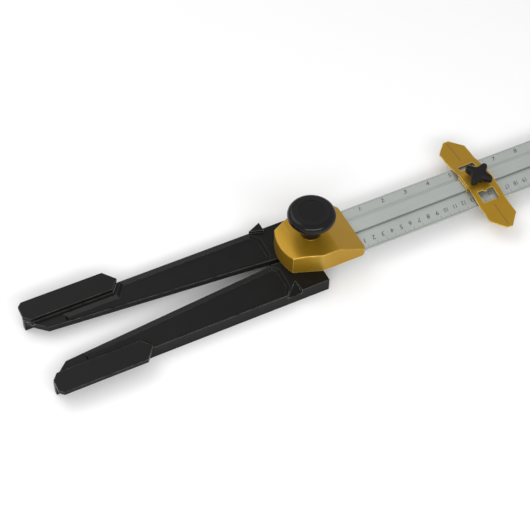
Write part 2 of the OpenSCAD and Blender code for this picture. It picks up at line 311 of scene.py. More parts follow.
def mix_colours(tree, mask, first, second):
    """Blend two colours by a mask; each colour is a tuple or a socket."""
    node = tree.nodes.new("ShaderNodeMix")
    node.data_type = "RGBA"
    tree.links.new(mask, node.inputs["Factor"])
    for socket, colour in ((node.inputs[6], first), (node.inputs[7], second)):
        if hasattr(colour, "links"):
            tree.links.new(colour, socket)
        else:
            socket.default_value = (*colour, 1)
    return node.outputs[2]


def make_finish(name, dark, light, wear_highlight_colour, metal, rough, grain, edge=0.5, cloud=25, grain_scale=1800,
                lines=None, sheen=0.5, reach=0.5):
    """A procedural material. dark and light are the two tones, the third colour the one on the
    edges, which is wear on some finishes and a painted highlight on the gold and the legs, rough
    the lowest and highest roughness, grain the bump's depth in millimetres, sheen how strongly a
    surface that is not metal mirrors, and reach how many millimetres the edge colour runs in."""
    material = bpy.data.materials.new(name)
    material.use_nodes = True
    tree = material.node_tree
    shader = tree.nodes["Principled BSDF"]
    clouds = place_group(tree, CLOUDY, Cloud_Scale=cloud, Grain_Scale=grain_scale)
    wear_highlight_node = place_group(tree, WORN_AND_HIGHLIGHT_EDGES, Amount=edge, Reach=reach * MM)
    tone = clouds.outputs["Tone"]
    height = clouds.outputs["Grain"]
    if lines:
        drawn = place_group(tree, DRAWN, Line_Scale=lines)
        tone = add_math(tree, "MULTIPLY", add_math(tree, "ADD", tone, drawn.outputs["Tone"]), 0.5)
        height = drawn.outputs["Height"]
    base = mix_colours(tree, tone, dark, light)
    # The edge mask lays the edge colour over the base: wear, and on the gold and the legs a painted
    # highlight.
    tree.links.new(mix_colours(tree, wear_highlight_node.outputs["Mask"], base, wear_highlight_colour), shader.inputs["Base Color"])
    tree.links.new(add_range(tree, tone, 0, 1, *rough), shader.inputs["Roughness"])
    bump = tree.nodes.new("ShaderNodeBump")
    bump.inputs["Strength"].default_value = 1.0
    bump.inputs["Distance"].default_value = grain * MM
    tree.links.new(height, bump.inputs["Height"])
    tree.links.new(bump.outputs["Normal"], shader.inputs["Normal"])
    shader.inputs["Metallic"].default_value = metal
    shader.inputs["Specular IOR Level"].default_value = sheen
    return material


# %% [markdown]
# Gold and aluminium here are metal under a thin anodised layer, so both are set between metal
# and plastic. The legs and the knobs are black mouldings, the legs duller and the knobs more
# polished. The small fittings are of steel, brass and nylon.

# %% The tool's own finishes
# The gold's pale yellow edge colour is a painted highlight, for the bright lines along its rounded
# edges.
GOLD = make_finish(
    "gold_anodised", dark=(0.385, 0.212, 0.010), light=(0.42, 0.235, 0.014), wear_highlight_colour=(1.0, 0.80, 0.26),
    metal=0.6, rough=(0.36, 0.40), grain=0.004, edge=0.9, reach=1.3)
ALUMINIUM = make_finish(
    "rule_aluminium", dark=(0.42, 0.445, 0.42), light=(0.49, 0.515, 0.49), wear_highlight_colour=(0.6, 0.6, 0.58),
    metal=0.6, rough=(0.36, 0.46), grain=0.006, edge=0.2, lines=1500)
# The legs' grey edge colour is a painted highlight, for the thin bright lines along their top edges.
LEG_PLASTIC = make_finish(
    "leg_plastic", dark=(0.0055, 0.0058, 0.0055), light=(0.0075, 0.0076, 0.0072),
    wear_highlight_colour=(0.24, 0.24, 0.22), metal=0.0, rough=(0.34, 0.38), grain=0.003, edge=0.9, cloud=60,
    sheen=0.12)
KNOB_BLACK = make_finish(
    "knob_black", dark=(0.006, 0.005, 0.006), light=(0.008, 0.007, 0.008),
    wear_highlight_colour=(0.03, 0.03, 0.03), metal=0.0, rough=(0.16, 0.19), grain=0.001, edge=0.1, sheen=0.2)
STEEL = make_finish(
    "zinc_steel", dark=(0.52, 0.53, 0.56), light=(0.66, 0.67, 0.70), wear_highlight_colour=(0.85, 0.85, 0.86),
    metal=1.0, rough=(0.25, 0.42), grain=0.006, edge=0.5, cloud=160)
BRASS = make_finish(
    "brass", dark=(0.60, 0.43, 0.16), light=(0.74, 0.56, 0.24), wear_highlight_colour=(0.9, 0.75, 0.4),
    metal=1.0, rough=(0.22, 0.38), grain=0.004, edge=0.5, cloud=200)
NYLON = make_finish(
    "nylon", dark=(0.70, 0.68, 0.62), light=(0.80, 0.78, 0.72), wear_highlight_colour=(0.9, 0.9, 0.86),
    metal=0.0, rough=(0.38, 0.5), grain=0.004, edge=0.3, cloud=120)
SCALE_INK = make_finish(
    "scale_ink", dark=(0.045, 0.045, 0.045), light=(0.07, 0.07, 0.07), wear_highlight_colour=(0.1, 0.1, 0.1),
    metal=0.0, rough=(0.6, 0.7), grain=0.002, edge=0.1, cloud=300, sheen=0.2)
FINISH_OF_SLOT = {
    "gold_anodised": GOLD, "rule_aluminium": ALUMINIUM, "leg_plastic": LEG_PLASTIC,
    "knob_black": KNOB_BLACK, "zinc_steel": STEEL, "brass": BRASS, "nylon": NYLON,
}
print("finishes", sorted(FINISH_OF_SLOT))

# %% [markdown]
# ## Dressing the CAD nodes
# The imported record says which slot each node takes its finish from. Pieces whose CAD shape is
# already right, such as the washers and screws, only need that finish. The others are replaced
# further down by pieces with rounded edges and finer form.

# %% Give every CAD node its finish
SLOT_OF_NODE = {p["node"]: p["material_slot"] for p in frame["record"]["subparts"]}
for node, thing in frame["nodes"].items():
    thing.data.materials.clear()
    thing.data.materials.append(FINISH_OF_SLOT[SLOT_OF_NODE[node]])
print("dressed", len(SLOT_OF_NODE), "nodes")

# %% [markdown]
# ## Bench tools
# Every piece starts as a primitive of the right size in the right place. In edit mode, faces
# and edges are picked by where they lie or which way they face, and then cut, inset, extruded
# or bevelled. Working on picked geometry by its place, and not by its index, keeps each step
# readable and safe when a size changes.

# %% Starting a piece
def begin():
    """Leave edit mode and let go of everything."""
    if bpy.context.object and bpy.context.object.mode == "EDIT":
        bpy.ops.object.mode_set(mode="OBJECT")
    bpy.ops.object.select_all(action="DESELECT")


def take(piece):
    """Let go of everything else and take the piece in hand."""
    begin()
    piece.select_set(True)
    bpy.context.view_layer.objects.active = piece


def settle(piece):
    """Move the piece's place, turn and size into its mesh."""
    take(piece)
    bpy.ops.object.transform_apply(location=True, rotation=True, scale=True)
    return piece


def add_block(name, low, high):
    """A block from corner low to corner high."""
    begin()
    low, high = Vector(low) * MM, Vector(high) * MM
    bpy.ops.mesh.primitive_cube_add(size=1, location=(low + high) / 2)
    piece = bpy.context.object
    piece.name = name
    piece.scale = high - low
    return settle(piece)


def add_round(name, radius, low, high, centre=(0, 0), sides=96):
    """An upright cylinder from z = low to z = high."""
    begin()
    bpy.ops.mesh.primitive_cylinder_add(
        vertices=sides, radius=radius * MM, depth=(high - low) * MM,
        location=(centre[0] * MM, centre[1] * MM, (low + high) / 2 * MM))
    piece = bpy.context.object
    piece.name = name
    return settle(piece)


# %% [markdown]
# Bisect can saw a whole piece through, or only score a line across picked faces. Scoring first
# and pulling faces afterwards keeps a piece in one skin, where joining blocks would leave seams.

# %% Picking and cutting
def edit(piece, kind="FACE"):
    """Open the piece in edit mode, in vertex, edge or face selection, with nothing picked."""
    if bpy.context.object != piece or piece.mode != "EDIT":
        take(piece)
        bpy.ops.object.mode_set(mode="EDIT")
    bpy.ops.mesh.select_mode(type=kind)
    bpy.ops.mesh.select_all(action="DESELECT")
    return bmesh.from_edit_mesh(piece.data)


def pick_faces(piece, test):
    """Pick the faces for which test(middle in mm, normal) is true."""
    mesh = edit(piece, "FACE")
    for face in mesh.faces:
        face.select_set(bool(test(face.calc_center_median() / MM, face.normal)))
    mesh.select_flush_mode()
    bmesh.update_edit_mesh(piece.data)


def pick_edges(piece, test):
    """Pick the edges for which test(first end in mm, second end in mm, edge) is true."""
    mesh = edit(piece, "EDGE")
    for edge in mesh.edges:
        a, b = edge.verts
        edge.select_set(bool(test(a.co / MM, b.co / MM, edge)))
    bmesh.update_edit_mesh(piece.data)


def pick_corners(piece, test):
    """Pick the vertices for which test(place in mm) is true."""
    mesh = edit(piece, "VERT")
    for corner in mesh.verts:
        corner.select_set(bool(test(corner.co / MM)))
    bmesh.update_edit_mesh(piece.data)


def saw(piece, point, away):
    """Saw the piece through at point; what lies on the side that away points to falls off."""
    edit(piece)
    bpy.ops.mesh.select_all(action="SELECT")
    bpy.ops.mesh.bisect(
        plane_co=Vector(point) * MM, plane_no=Vector(away).normalized(),
        use_fill=True, clear_outer=True)


def score(piece, test, point, across):
    """Score a line across the picked faces only, where a plane meets them."""
    pick_faces(piece, test)
    bpy.ops.mesh.bisect(plane_co=Vector(point) * MM, plane_no=Vector(across).normalized())


def across_line(start, finish):
    """The level direction square to a line in plan, to the right of start -> finish."""
    return (finish[1] - start[1], start[0] - finish[0], 0)


def inside(point, outline):
    """True where a point lies inside an outline in plan."""
    hit = False
    for (ax, ay), (bx, by) in zip(outline, outline[1:] + outline[:1]):
        if (ay > point[1]) != (by > point[1]):
            hit ^= point[0] < ax + (point[1] - ay) * (bx - ax) / (by - ay)
    return hit


def step_in(thickness, lift):
    """Inset the picked faces and move what lies inside the new rim up or down."""
    bpy.ops.mesh.inset(thickness=thickness * MM)
    bpy.ops.transform.translate(value=(0, 0, lift * MM))


# %% [markdown]
# No moulded or machined edge is perfectly sharp, and a round edge is what catches the light.
# Rounding can leave slivers that upset the shading, so they are merged at once. Weighted
# normals then keep the flats looking flat.

# %% Joining, rounding and finishing
def press(piece, kind, **settings):
    """Add a modifier and apply it at once."""
    take(piece)
    modifier = piece.modifiers.new(kind.lower(), kind)
    for name, value in settings.items():
        setattr(modifier, name, value)
    bpy.ops.object.modifier_apply(modifier=modifier.name)


def combine(piece, tool, operation):
    """UNION or DIFFERENCE with another block, which is used up."""
    press(piece, "BOOLEAN", operation=operation, solver="EXACT", object=tool)
    bpy.data.objects.remove(tool)


def tidy_mesh(piece, flat):
    """Merge doubles, dissolve lines within flat faces, and turn the normals outwards."""
    edit(piece)
    bpy.ops.mesh.select_all(action="SELECT")
    bpy.ops.mesh.remove_doubles(threshold=0.00001)
    bpy.ops.mesh.dissolve_limited(angle_limit=math.radians(flat))
    bpy.ops.mesh.normals_make_consistent(inside=False)
    begin()
    return piece


def smooth(piece, angle):
    """Smooth shading across edges up to angle."""
    take(piece)
    bpy.ops.object.shade_smooth_by_angle(angle=math.radians(angle))


def shade(piece, angle=50):
    """The same, with the normals weighted by face size."""
    smooth(piece, angle)
    press(piece, "WEIGHTED_NORMAL", keep_sharp=True, weight=100)


def soften(piece, width, segments=3, angle=25):
    """Round every edge sharper than angle and merge the slivers that leaves."""
    press(piece, "BEVEL", width=width * MM, segments=segments, limit_method="ANGLE",
          angle_limit=math.radians(angle), use_clamp_overlap=True)
    edit(piece)
    bpy.ops.mesh.select_all(action="SELECT")
    bpy.ops.mesh.remove_doubles(threshold=0.02 * MM)
    bpy.ops.mesh.dissolve_degenerate(threshold=0.02 * MM)
    bpy.ops.mesh.select_all(action="SELECT")
    bpy.ops.mesh.normals_make_consistent(inside=False)
    shade(piece)


def hand_over(piece, body, slot, finish, *nodes):
    """Give a finished piece its material and its body, and hide what it replaces. The slot is not
    used.
    """
    begin()
    piece.data.materials.clear()
    piece.data.materials.append(finish)
    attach(piece, body)
    if nodes:
        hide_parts(*nodes)
    print(piece.name, "faces", len(piece.data.polygons), "rides", body)


print("bench tools ready")

# %% [markdown]
# ## Holder cover
# The gold cover is a casting, machined flat and anodised: a flat top around the knob, a low
# facet falling to the legs, and a long slope down to the rule. Its legs' end is a slice of a
# wide circle, so a large cylinder with many sides is the best start: sawing off what is not
# needed leaves an even arc of one radius.

# %% Saw the cover's outline from a cylinder
ARC_RADIUS = 46
CHAMFER_AT = (-27.9, 20)
CHAMFER_RUN = (10, 26.9)
WALL = 2.5
CORNER = 5
EDGE_ROUND = 1.2
holder_half = HOLDER_HIGH.y
arc_middle = HOLDER_LOW.x + ARC_RADIUS
cover = add_round("gold_cover", ARC_RADIUS, 0, HOLDER_HIGH.z, (arc_middle, 0), sides=240)
saw(cover, (HOLDER_HIGH.x, 0, 0), (1, 0, 0))
for side in (-1, 1):
    saw(cover, (0, side * holder_half, 0), (0, side, 0))
    corner = (CHAMFER_AT[0], side * CHAMFER_AT[1], 0)
    saw(cover, corner, (-CHAMFER_RUN[0], side * CHAMFER_RUN[1], 0))
print("cover outline", len(cover.data.polygons), "faces")

# %% [markdown]
# Two sloping saw cuts leave the slope and the facet perfectly flat. The two upright corners at
# the rule's end get a large radius first. The edges that are not upright get a small one after
# that, so that it runs on round those corners.

# %% Slope the top and round the corners
SLOPE_START = 15.5
SLOPE_DROP = 14.5
FACET_START = -17.5
FACET_DROP = 3.2
top = HOLDER_HIGH.z
saw(cover, (SLOPE_START, 0, top), (SLOPE_DROP, 0, HOLDER_HIGH.x - SLOPE_START))
saw(cover, (FACET_START, 0, top), (-FACET_DROP, 0, FACET_START - HOLDER_LOW.x))
bpy.ops.mesh.select_all(action="SELECT")
bpy.ops.mesh.remove_doubles(threshold=0.3 * MM)
pick_edges(cover, lambda a, b, edge: min(a.x, b.x) > HOLDER_HIGH.x - 0.1
           and min(abs(a.y), abs(b.y)) > holder_half - 0.1 and abs(a.z - b.z) > 1)
bpy.ops.mesh.bevel(offset=CORNER * MM, segments=8, affect="EDGES")
pick_edges(cover, lambda a, b, edge: max(a.z, b.z) > 0.1 and len(edge.link_faces) == 2
           and abs(a.z - b.z) < 0.7 * (a - b).length
           and edge.calc_face_angle(0) > math.radians(15))
bpy.ops.mesh.bevel(offset=EDGE_ROUND * MM, segments=4, affect="EDGES", clamp_overlap=True)
print("rounded edges", len(bmesh.from_edit_mesh(cover.data).faces), "faces")

# %% [markdown]
# The cover is a shell, open below. Deleting its floor and letting Solidify thicken the rest
# inwards gives one even wall. Three blocks then cut the way for the rule: one for its flanges,
# one for its rail and one for its ridge, each with a little room to spare.

# %% Hollow the cover, pass the rule through it and drill the bolt hole
FLANGE = 2
RAIL_LOW = -4.5
RAIL_HIGH = 9
RAIL_TOP = 5
RIDGE = (14, 15)
RIDGE_TALL = 0.5
GAP = 0.3
SLOT_ALONG = (13, 60)
BOLT_HOLE = 4.1
pick_faces(cover, lambda middle, normal: normal.z < -0.9 and middle.z < 0.01)
bpy.ops.mesh.delete(type="FACE")
press(cover, "SOLIDIFY", thickness=WALL * MM, offset=-1, use_even_offset=True)
for low_y, high_y, tall in (
        (RULE_LOW.y - GAP, RULE_HIGH.y + GAP, FLANGE),
        (RAIL_LOW - GAP, RAIL_HIGH + GAP, RAIL_TOP),
        (RAIL_HIGH - 1, RIDGE[1] + GAP, FLANGE + RIDGE_TALL)):
    slot = add_block("slot", (SLOT_ALONG[0], low_y, -1), (SLOT_ALONG[1], high_y, tall + GAP))
    combine(cover, slot, "DIFFERENCE")
combine(cover, add_round("drill", BOLT_HOLE, -1, 40), "DIFFERENCE")
tidy_mesh(cover, 0.2)
shade(cover, 22)
hand_over(cover, "holder", "gold_anodised", GOLD, "holder_cover")

# %% [markdown]
# ## Clamp knob
# The knob is a black moulded mushroom: a stem that widens upwards and a head like a thick coin
# with a fully rounded rim. Extruding it out of its own stem keeps the neck one surface, and
# bevelling both rim edges by almost half the head's thickness makes the rim a clean half round.

# %% Extrude the knob out of its stem
STEM_RADIUS = 10
NECK_RADIUS = 12.6
INSERT_RADIUS = 6
FOOT_RIM = 0.6
RIM_ROUND = 5.6
RIM_FLAT = 0.05
CROWN_RISE = 0.4
knob_radius = KNOB_HIGH.x
head_top = KNOB_HIGH.z - CROWN_RISE
head_foot = head_top - 2 * RIM_ROUND
knob = add_round("mushroom_knob", STEM_RADIUS, KNOB_LOW.z, head_foot)
pick_faces(knob, lambda middle, normal: normal.z > 0.9)
flare = NECK_RADIUS / STEM_RADIUS
bpy.ops.transform.resize(value=(flare, flare, 1), center_override=(0, 0, 0))
bpy.ops.mesh.extrude_region_move()
spread = knob_radius / NECK_RADIUS
bpy.ops.transform.resize(value=(spread, spread, 1), center_override=(0, 0, 0))
bpy.ops.mesh.extrude_region_move(TRANSFORM_OT_translate={"value": (0, 0, 2 * RIM_ROUND * MM)})
pick_edges(knob, lambda a, b, edge: min(a.xy.length, b.xy.length) > knob_radius - 0.1
           and abs(a.z - b.z) < 0.01)
bpy.ops.mesh.bevel(offset=(RIM_ROUND - RIM_FLAT) * MM, segments=14, affect="EDGES")
print("knob head", knob_radius * 2, "mm across")

# %% [markdown]
# A moulded head is seldom quite flat, so its top is drawn in twice and lifted a little each
# time. The neck gets a small fillet, and the stem is bored from below for its brass insert.

# %% Crown the top, fill the neck and bore the stem
CROWN_STEP = 5
CROWN_LIFTS = (0.10, 0.05)
NECK_ROUND = 1.6
BORE_DEPTH = 20
pick_faces(knob, lambda middle, normal: normal.z > 0.99 and middle.z > head_top - 0.1)
for lift in CROWN_LIFTS:
    step_in(CROWN_STEP, lift)
pick_edges(knob, lambda a, b, edge: abs(a.z - head_foot) < 0.01 and abs(b.z - head_foot) < 0.01
           and max(a.xy.length, b.xy.length) < NECK_RADIUS + 0.1)
bpy.ops.mesh.bevel(offset=NECK_ROUND * MM, segments=4, affect="EDGES")
pick_faces(knob, lambda middle, normal: normal.z < -0.99 and middle.z < KNOB_LOW.z + 0.1)
bpy.ops.mesh.inset(thickness=FOOT_RIM * MM)
bpy.ops.mesh.inset(thickness=(STEM_RADIUS - INSERT_RADIUS - FOOT_RIM) * MM)
bpy.ops.mesh.extrude_region_move(TRANSFORM_OT_translate={"value": (0, 0, BORE_DEPTH * MM)})
smooth(knob, 35)
hand_over(knob, "clamp", "knob_black", KNOB_BLACK, "clamp_knob")

# %% [markdown]
# ## Star knob
# The small lock knob has four lobes joined by hollow sides, and its lobe ends stand a little
# proud of the dished middle. A cylinder with twenty-four sides has a corner at each lobe tip,
# lobe flank, waist flank and waist, so pulling each upright pair of corners in or out by a
# rule gives the star, and a subdivision surface then makes the moulding flow.

# %% Pull a cylinder into a star
STAR_SIDES = 24
LOBE_REACH = (1.0, 0.86, 0.56, 0.50, 0.56, 0.86)
STAR_TURN = math.radians(32)
STAR_RADIUS = 15.4
HUB_TALL = 2.5
LOBE_RISE = 0.5
star_foot = STAR_LOW.z + HUB_TALL
star_top = STAR_HIGH.z - LOBE_RISE
star = add_round("star_knob_cap", STAR_RADIUS, star_foot, star_top, sides=STAR_SIDES)
bpy.ops.object.mode_set(mode="EDIT")
for step in range(STAR_SIDES):
    way = 2 * math.pi * step / STAR_SIDES
    reach = LOBE_REACH[step % len(LOBE_REACH)]
    spot = Vector((math.cos(way), math.sin(way), 0)) * STAR_RADIUS
    pick_corners(star, lambda place: (place.xy - spot.xy).length < 0.3)
    bpy.ops.transform.resize(value=(reach, reach, 1), center_override=(0, 0, 0))
print("star points pulled", STAR_SIDES)

# %% [markdown]
# Drawing the top in and lifting it, then drawing it in again and sinking it, leaves a proud rim
# round a dished middle. The subdivision surface rounds all of that together. The hub and the
# stud's hole come after it, because they have to keep their crisp edges.

# %% Dish the top, round the rims and add the hub
HUB_RADIUS = 6.5
STUD_HOLE = 2.5
STUD_HOLE_DEPTH = 7
pick_faces(star, lambda middle, normal: normal.z > 0.9)
step_in(1.3, LOBE_RISE)
step_in(1.4, -0.6)
pick_faces(star, lambda middle, normal: normal.z < -0.9)
step_in(0.8, -0.2)
begin()
press(star, "SUBSURF", levels=3, render_levels=3)
hub = add_round("hub", HUB_RADIUS, STAR_LOW.z, star_foot + 1)
combine(star, hub, "UNION")
drill = add_round("drill", STUD_HOLE, STAR_LOW.z - 1, STAR_LOW.z + STUD_HOLE_DEPTH)
combine(star, drill, "DIFFERENCE")
star.rotation_euler = (0, 0, STAR_TURN)
star.location = (CURSOR_X * MM, 0, 0)
settle(star)
smooth(star, 50)
hand_over(star, "star", "knob_black", KNOB_BLACK, "star_knob")

# %% [markdown]
# ## Cursor strip
# The cursor is one strip of gold sheet: flat over the rail, folded down past two windows, and
# folded again into two low pointed tips. It is laid out flat as one thin face, scored where it
# will fold, trimmed and pierced, and each scored line is then pushed down to its own height.
# Solidify gives it the thickness of sheet metal last, so both faces follow the same folds.

# %% Lay the strip out flat and score it
SHEET = 1.2
STRIP_HALF = 14.75
STRIP_REACH = 61.25
SHOULDER = 48.5
TIP_HALF = 3
NEAR_WINDOW = (-26, -13.5)
FAR_WINDOW = (17, 23.5)
WINDOW_HALF = 8.7
WINDOW_ROUND = 2
ROUND_STEPS = (-1.6, -0.9, 0, 0.9, 1.6)
FOLDS = ((-61.3, 0.8), (-29.5, 2.3), (-8, 7.2), (10.6, 7.2), (29.5, 2.3), (61.3, 0.8))


def strip_height(y):
    """Height of the strip's under face at a place across the rule, between its folds."""
    for (y0, z0), (y1, z1) in zip(FOLDS, FOLDS[1:]):
        if y <= y1 + 0.001:
            return z0 + (z1 - z0) * (y - y0) / (y1 - y0)
    return FOLDS[-1][1]


def everywhere(middle, normal):
    """Every face."""
    return True


begin()
bpy.ops.mesh.primitive_plane_add(size=1, location=(CURSOR_X * MM, 0, 0))
strip = bpy.context.object
strip.name = "gold_cursor"
strip.scale = (2 * STRIP_HALF * MM, 2 * STRIP_REACH * MM, 1)
settle(strip)
for y in [fold[0] for fold in FOLDS[1:-1]] + [*NEAR_WINDOW, *FAR_WINDOW]:
    score(strip, everywhere, (0, y, 0), (0, 1, 0))
for x in (-WINDOW_HALF, -WINDOW_ROUND, *ROUND_STEPS, WINDOW_ROUND, WINDOW_HALF):
    score(strip, everywhere, (CURSOR_X + x, 0, 0), (1, 0, 0))
print("strip scored into", len(bmesh.from_edit_mesh(strip.data).faces), "faces")

# %% [markdown]
# Four saw cuts trim the tips. The windows are cells of the scored sheet that are deleted, and a
# small round tongue is pushed out into the near one. Folding only sets the height of every
# corner by its place across the rule, so the sheet never tears.

# %% Trim the tips, pierce the windows and fold
for side in (-1, 1):
    for end in (-1, 1):
        away = (side * (STRIP_REACH - SHOULDER), end * (STRIP_HALF - TIP_HALF), 0)
        saw(strip, (CURSOR_X + side * STRIP_HALF, end * SHOULDER, 0), away)
pick_faces(strip, lambda middle, normal: abs(middle.x - CURSOR_X) < WINDOW_HALF and (
    NEAR_WINDOW[0] < middle.y < NEAR_WINDOW[1] or FAR_WINDOW[0] < middle.y < FAR_WINDOW[1]))
bpy.ops.mesh.delete(type="FACE")
for x in ROUND_STEPS:
    pick_corners(strip, lambda place: abs(place.x - CURSOR_X - x) < 0.05
                 and abs(place.y - NEAR_WINDOW[1]) < 0.05)
    bulge = math.sqrt(WINDOW_ROUND ** 2 - x ** 2)
    bpy.ops.transform.translate(value=(0, -bulge * MM, 0))
mesh = edit(strip, "VERT")
for corner in mesh.verts:
    corner.co.z = strip_height(corner.co.y / MM) * MM
bmesh.update_edit_mesh(strip.data)
tidy_mesh(strip, 0.3)
press(strip, "SOLIDIFY", thickness=SHEET * MM, offset=1, use_even_offset=True)
print("strip folded, highest", max(corner.co.z for corner in strip.data.vertices) / MM, "mm")

# %% [markdown]
# The hole for the bush is drilled once the sheet has its thickness, so that its wall is upright.
# Every sharp edge then gets a small round, as cut sheet has after tumbling.

# %% Bore the strip for its bush and round its edges
BUSH_HOLE = 3.6
STRIP_ROUND = 0.22
combine(strip, add_round("drill", BUSH_HOLE, 0, 20, (CURSOR_X, 0)), "DIFFERENCE")
tidy_mesh(strip, 0.3)
soften(strip, STRIP_ROUND, segments=2, angle=30)
hand_over(strip, "cursor", "gold_anodised", GOLD, "cursor_strip")

# %% [markdown]
# ## Rule
# The rule is an aluminium extrusion: two thin scale flanges, a raised T-shaped rail that the
# cursor's claws run on, and a low ridge beside it. It starts as the flat bar. Two lines scored
# on top mark the rail's neck, the strip between them is pulled up, and the sides of its upper
# part are pulled out to make the T. Two more lines mark the ridge, which is pulled up last.

# %% Pull the rail and the ridge out of a flat bar
LIP = 1.9
NECK = 2


def on_top(middle, normal):
    """Faces of the flat bar's top."""
    return normal.z > 0.9 and abs(middle.z - FLANGE) < 0.01


rule = add_block("marked_rule", (RULE_LOW.x, RULE_LOW.y, 0), (RULE_HIGH.x, RULE_HIGH.y, FLANGE))
for y in (RAIL_LOW + NECK, RAIL_HIGH - NECK, *RIDGE):
    score(rule, on_top, (0, y, 0), (0, 1, 0))
pick_faces(rule, lambda middle, normal: on_top(middle, normal)
           and RAIL_LOW + NECK < middle.y < RAIL_HIGH - NECK)
bpy.ops.mesh.extrude_region_move(
    TRANSFORM_OT_translate={"value": (0, 0, (RAIL_TOP - LIP - FLANGE) * MM)})
bpy.ops.mesh.extrude_region_move(TRANSFORM_OT_translate={"value": (0, 0, LIP * MM)})
for side in (-1, 1):
    pick_faces(rule, lambda middle, normal: normal.y * side > 0.9
               and middle.z > RAIL_TOP - LIP and abs(middle.y) < 10)
    bpy.ops.mesh.extrude_region_move(TRANSFORM_OT_translate={"value": (0, side * NECK * MM, 0)})
pick_faces(rule, lambda middle, normal: on_top(middle, normal) and RIDGE[0] < middle.y < RIDGE[1])
bpy.ops.mesh.extrude_region_move(TRANSFORM_OT_translate={"value": (0, 0, RIDGE_TALL * MM)})
print("rule", RULE_HIGH.x - RULE_LOW.x, "mm long")

# %% [markdown]
# The two screw holes are countersunk on the rule's underside, where flat heads would otherwise
# stand out. A cylinder takes out each hole and a cone its seat.

# %% Countersink the rule for its two screws and break its edges
SCREWS = ((28, -17), (28, 19))
SCREW_HOLE = 1.6
SINK_RADIUS = 3.2
SINK_DEPTH = 1.6
SINK_MIDDLE = 0.5
RULE_ROUND = 0.15
for spot in SCREWS:
    combine(rule, add_round("drill", SCREW_HOLE, -1, 6, spot, 32), "DIFFERENCE")
    begin()
    bpy.ops.mesh.primitive_cone_add(
        vertices=32, radius1=SINK_RADIUS * MM, radius2=SCREW_HOLE * MM, depth=SINK_DEPTH * MM,
        location=(spot[0] * MM, spot[1] * MM, SINK_MIDDLE * MM))
    combine(rule, settle(bpy.context.object), "DIFFERENCE")
tidy_mesh(rule, 0.2)
soften(rule, RULE_ROUND, segments=2, angle=40)
hand_over(rule, "holder", "rule_aluminium", ALUMINIUM, "rule")

# %% [markdown]
# ## Fence legs
# Each leg is one black moulding: a tapered web with a sunk panel, a fence that hangs down along
# its outer edge, and a wing near the tip that lies on the board. Both legs come from the same
# drawing, so the shell is modelled once, on the left side, and copied. The block is sawn to
# the taper first. The fence is then pulled down from a strip scored on its underside, which
# leaves one closed skin with no seam between web and fence.

# %% Saw the web and pull the fence down
WEB = 6.5
FENCE = 4.8
LEG_TOP = -0.5
HUB_GAP = 0.3
WING_OVERHANG = 13.1
TIP = LEG_LOW.x
fence_face = LEG_HIGH.y - WING_OVERHANG
INNER = 1.5
TAPER = ((-25, INNER), (-256, 20.5))
TIP_CORNER = (-274, 36.7)


def below(middle, normal):
    """Faces that look down."""
    return normal.z < -0.9


def leg_deck(middle, normal):
    """Faces of the web's top."""
    return normal.z > 0.9 and abs(middle.z - LEG_TOP) < 0.01


shell = add_block("leg_shell", (TIP, INNER, LEG_TOP - WEB), (-HUB_GAP, fence_face, LEG_TOP))
for start, finish in (TAPER, (TAPER[1], TIP_CORNER)):
    saw(shell, (*start, 0), -Vector(across_line(start, finish)))
score(shell, below, (0, fence_face - FENCE, 0), (0, 1, 0))
pick_faces(shell, lambda middle, normal: below(middle, normal)
           and middle.y > fence_face - FENCE)
bpy.ops.mesh.extrude_region_move(
    TRANSFORM_OT_translate={"value": (0, 0, (FLOOR + WEB - LEG_TOP) * MM)})
print("fence face at", fence_face, "tip at", TIP)

# %% [markdown]
# The panel is sunk with sloping sides. Its outline is scored on the top face, side by side,
# the cells inside it are merged, and one inset with depth makes floor and slopes together.

# %% Sink the panel
RIM = 0.8
PANEL_DEPTH = 3
PANEL_SLOPE = 2.7


def inner_edge(x):
    """Where the leg's inner edge lies across, at a place along the leg."""
    (x0, y0), (x1, y1) = TAPER
    return y0 + (x - x0) * (y1 - y0) / (x1 - x0)


panel = [
    (-44, fence_face - RIM), (-37, 31), (-37, 9), (-42, inner_edge(-42) + RIM),
    (-238.5, inner_edge(-238.5) + RIM), (-238.5, 28.4), (-186, 28.4), (-177, fence_face - RIM)]
for start, finish in zip(panel, panel[1:] + panel[:1]):
    score(shell, leg_deck, (*start, 0), across_line(start, finish))
pick_faces(shell, lambda middle, normal: leg_deck(middle, normal) and inside(middle, panel))
bpy.ops.mesh.dissolve_faces()
bpy.ops.mesh.inset(thickness=PANEL_SLOPE * MM, depth=-PANEL_DEPTH * MM)
tidy_mesh(shell, 0.2)
print("leg shell", len(shell.data.polygons), "faces")

# %% [markdown]
# The wing overhangs the fence and rests on the board, so only its inner half may reach down to
# the web. It is sawn to its outline, its inner half is pulled down into the web, and the foot
# of its inner wall is drawn inwards, so that the wall slopes as a moulded rib does. Web and
# wing are rounded before they are joined, so that the crease between them stays clean.

# %% Make the wing and join it
PLATE_FOOT = 1.5
WING_INNER = 32.2
WING_END = -180
WING_SLOPE = 3.2
LEG_ROUND = 0.35
WING_CUTS = (
    ((WING_END, 42.2), (12.4, 10)), ((WING_END, 42.2), (10, -8.3)),
    ((-270, 54.6), (-3.8, 4)), ((-274, 38.4), (-5.8, -5)))


def plate_on_deck(name, low, high, cuts):
    """A plate that lies over the fence at z = 0 and reaches down into the web inside it."""
    plate = add_block(name, low, high)
    for point, away in cuts:
        saw(plate, (*point, 0), (*away, 0))
    score(plate, below, (0, fence_face, 0), (0, 1, 0))
    pick_faces(plate, lambda middle, normal: below(middle, normal) and middle.y < fence_face)
    bpy.ops.mesh.extrude_region_move(TRANSFORM_OT_translate={"value": (0, 0, -PLATE_FOOT * MM)})
    return plate


